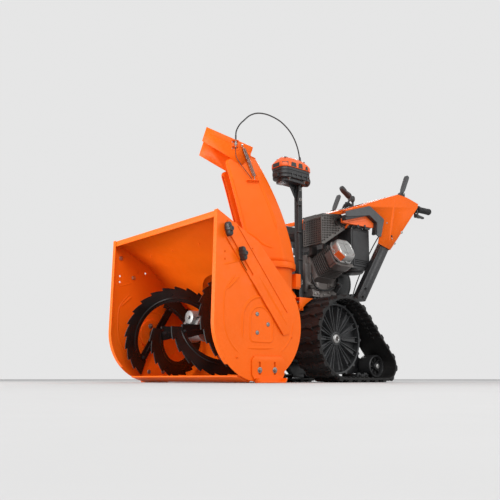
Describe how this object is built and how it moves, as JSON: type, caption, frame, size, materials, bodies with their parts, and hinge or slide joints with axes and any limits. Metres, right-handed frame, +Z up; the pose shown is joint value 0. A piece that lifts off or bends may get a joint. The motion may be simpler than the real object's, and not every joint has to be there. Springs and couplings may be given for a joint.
{
  "type": "snow blower",
  "caption": "Walk-behind two-stage snow blower on tracks, with a wide bucket, serrated auger, turning chute with tilting deflector, engine and upright clutch levers.",
  "frame": {"origin": "on the ground, at the middle of the machine's length and width", "axes": "+Y from the bucket back to the handles, +X to the operator's left, +Z up"},
  "size_m": [0.787, 1.4694, 1.1373],
  "materials": {
    "orange_paint": "gloss powder coat",
    "black_paint": "satin powder coat",
    "black_plastic": "moulded, fine texture",
    "orange_plastic": "moulded, semi-gloss",
    "rubber": "moulded rubber",
    "grip_rubber": "soft grip",
    "bare_steel": "zinc plated",
    "cast_metal": "cast and painted grey",
    "alloy": "cast alloy",
    "dark_alloy": "cast alloy, darkened",
    "exhaust_steel": "heat-proof coating",
    "lamp_lens": "clear lens"
  },
  "bodies": {
    "root": {"auger_housing": "orange_paint", "side_plates": "orange_paint", "scraper_bar": "orange_paint", "skid_shoes": "orange_paint", "housing_bolts": "bare_steel", "gear_case": "cast_metal", "impeller_housing": "orange_paint", "chassis": "black_paint", "belt_cover": "black_plastic", "drive_belt": "rubber", "engine_block": "dark_alloy", "cylinder": "dark_alloy", "valve_cover": "alloy", "muffler": "exhaust_steel", "muffler_guard": "black_paint", "blower_housing": "black_plastic", "fuel_tank": "black_plastic", "heater_box": "black_plastic", "engine_cowl": "orange_plastic", "dash_panel": "orange_paint", "handle_panels": "orange_paint", "handle_tubes": "black_paint", "handle_grips": "grip_rubber", "tower_post": "black_paint", "tower_head": "black_plastic", "tower_cover": "orange_plastic", "deflector_cable": "rubber", "headlamp": "lamp_lens"},
    "impeller": {"impeller": "black_paint", "impeller_shaft": "bare_steel"},
    "auger": {"auger_shaft": "black_paint", "auger_flights": "black_paint", "shear_bolts": "bare_steel"},
    "crank": {"engine_pulley": "bare_steel"},
    "chute": {"chute": "orange_paint", "deflector_spring": "bare_steel"},
    "deflector": {"deflector": "orange_paint"},
    "joystick": {"joystick": "black_plastic"},
    "drive_clutch_lever": {"drive_clutch_lever": "black_plastic"},
    "auger_clutch_lever": {"auger_clutch_lever": "black_plastic"},
    "speed_lever": {"speed_lever": "black_plastic"},
    "steering_trigger_left": {"steering_trigger_left": "black_plastic"},
    "steering_trigger_right": {"steering_trigger_right": "black_plastic"},
    "track_left": {"track_frame_left": "black_paint", "track_belt_left": "rubber"},
    "track_right": {"track_frame_right": "black_paint", "track_belt_right": "rubber"},
    "wheel_left": {"drive_wheel_left": "black_plastic"},
    "wheel_right": {"drive_wheel_right": "black_plastic"},
    "idler_left": {"idler_left": "black_plastic"},
    "idler_right": {"idler_right": "black_plastic"},
    "cutter_left": {"drift_cutter_left": "orange_paint"},
    "cutter_right": {"drift_cutter_right": "orange_paint"},
    "knob_upper_left": {"wing_knob_upper_left": "black_plastic"},
    "knob_lower_left": {"wing_knob_lower_left": "black_plastic"},
    "knob_upper_right": {"wing_knob_upper_right": "black_plastic"},
    "knob_lower_right": {"wing_knob_lower_right": "black_plastic"},
    "fuel_cap": {"fuel_cap": "black_plastic"},
    "recoil_handle": {"recoil_handle": "black_plastic"},
    "throttle_lever": {"throttle_lever": "black_plastic"}
  },
  "joints": [
    {"name": "auger_spin", "type": "hinge", "parent": "root", "child": "auger", "pos_m": [0, -0.5315, 0.206], "axis": [1, 0, 0], "continuous": true},
    {"name": "impeller_spin", "type": "hinge", "parent": "root", "child": "impeller", "pos_m": [0, -0.2235, 0.25], "axis": [0, 1, 0], "continuous": true},
    {"name": "crank_spin", "type": "hinge", "parent": "root", "child": "crank", "pos_m": [0, -0.0735, 0.45], "axis": [0, 1, 0], "continuous": true},
    {"name": "chute_rotate", "type": "hinge", "parent": "root", "child": "chute", "pos_m": [0.095, -0.2335, 0.475], "axis": [0, 0, 1], "range_deg": [-57.6, 122.4]},
    {"name": "deflector_tilt", "type": "hinge", "parent": "chute", "child": "deflector", "pos_m": [0.03499, -0.32806, 0.922], "axis": [0.8443, -0.5358, 0], "range_deg": [0, 55]},
    {"name": "joystick_swing", "type": "hinge", "parent": "root", "child": "joystick", "pos_m": [0, 0.3665, 0.862], "axis": [0, 1, 0], "range_deg": [-18, 18], "stiffness_Nm_per_rad": 2},
    {"name": "drive_clutch_squeeze", "type": "hinge", "parent": "root", "child": "drive_clutch_lever", "pos_m": [0.22, 0.5045, 0.897], "axis": [-1, 0, 0], "range_deg": [0, 50], "stiffness_Nm_per_rad": 3, "springref_deg": -8.59},
    {"name": "auger_clutch_squeeze", "type": "hinge", "parent": "root", "child": "auger_clutch_lever", "pos_m": [-0.22, 0.5045, 0.897], "axis": [-1, 0, 0], "range_deg": [0, 50], "stiffness_Nm_per_rad": 3, "springref_deg": -8.59},
    {"name": "speed_select", "type": "hinge", "parent": "root", "child": "speed_lever", "pos_m": [0.15, 0.2265, 0.77], "axis": [1, 0, 0], "range_deg": [-22, 22]},
    {"name": "steer_left_squeeze", "type": "hinge", "parent": "root", "child": "steering_trigger_left", "pos_m": [0.22, 0.6215, 0.811], "axis": [1, 0, 0], "range_deg": [0, 12], "stiffness_Nm_per_rad": 1, "springref_deg": -5.73},
    {"name": "steer_right_squeeze", "type": "hinge", "parent": "root", "child": "steering_trigger_right", "pos_m": [-0.22, 0.6215, 0.811], "axis": [1, 0, 0], "range_deg": [0, 12], "stiffness_Nm_per_rad": 1, "springref_deg": -5.73},
    {"name": "track_tilt_left", "type": "hinge", "parent": "root", "child": "track_left", "pos_m": [0.225, 0.0025, 0.18], "axis": [1, 0, 0], "range_deg": [-5, 12]},
    {"name": "track_tilt_right", "type": "hinge", "parent": "root", "child": "track_right", "pos_m": [-0.225, 0.0025, 0.18], "axis": [1, 0, 0], "range_deg": [-5, 12]},
    {"name": "wheel_left_spin", "type": "hinge", "parent": "root", "child": "wheel_left", "pos_m": [0.225, 0.0025, 0.18], "axis": [1, 0, 0], "continuous": true},
    {"name": "wheel_right_spin", "type": "hinge", "parent": "root", "child": "wheel_right", "pos_m": [-0.225, 0.0025, 0.18], "axis": [1, 0, 0], "continuous": true},
    {"name": "idler_left_spin", "type": "hinge", "parent": "track_left", "child": "idler_left", "pos_m": [0.225, 0.2615, 0.069], "axis": [1, 0, 0], "continuous": true},
    {"name": "idler_right_spin", "type": "hinge", "parent": "track_right", "child": "idler_right", "pos_m": [-0.225, 0.2615, 0.069], "axis": [1, 0, 0], "continuous": true},
    {"name": "cutter_left_slide", "type": "slide", "parent": "root", "child": "cutter_left", "axis": [0, -0.6334, 0.7738], "range_m": [0, 0.085]},
    {"name": "cutter_right_slide", "type": "slide", "parent": "root", "child": "cutter_right", "axis": [0, -0.6334, 0.7738], "range_m": [0, 0.085]},
    {"name": "knob_upper_left_turn", "type": "hinge", "parent": "root", "child": "knob_upper_left", "pos_m": [0.37, -0.6875, 0.519], "axis": [1, 0, 0], "continuous": true},
    {"name": "knob_lower_left_turn", "type": "hinge", "parent": "root", "child": "knob_lower_left", "pos_m": [0.37, -0.6245, 0.442], "axis": [1, 0, 0], "continuous": true},
    {"name": "knob_upper_right_turn", "type": "hinge", "parent": "root", "child": "knob_upper_right", "pos_m": [-0.37, -0.6875, 0.519], "axis": [1, 0, 0], "continuous": true},
    {"name": "knob_lower_right_turn", "type": "hinge", "parent": "root", "child": "knob_lower_right", "pos_m": [-0.37, -0.6245, 0.442], "axis": [1, 0, 0], "continuous": true},
    {"name": "fuel_cap_turn", "type": "hinge", "parent": "root", "child": "fuel_cap", "pos_m": [-0.08, 0.2065, 0.7], "axis": [0, 0, 1], "continuous": true},
    {"name": "recoil_pull", "type": "slide", "parent": "root", "child": "recoil_handle", "axis": [0, 1, 0], "range_m": [0, 0.35], "stiffness_N_per_m": 30, "springref_m": -0.1},
    {"name": "throttle_set", "type": "hinge", "parent": "root", "child": "throttle_lever", "pos_m": [0.088, 0.2665, 0.56], "axis": [1, 0, 0], "range_deg": [-20, 20]}
  ],
  "couplings": [
    {"joint": "impeller_spin", "follows": "auger_spin", "ratio": 12},
    {"joint": "crank_spin", "follows": "auger_spin", "ratio": 26.286},
    {"joint": "track_tilt_right", "follows": "track_tilt_left", "ratio": 1},
    {"joint": "idler_left_spin", "follows": "wheel_left_spin", "ratio": 3.1765},
    {"joint": "idler_right_spin", "follows": "wheel_right_spin", "ratio": 3.1765}
  ]
}
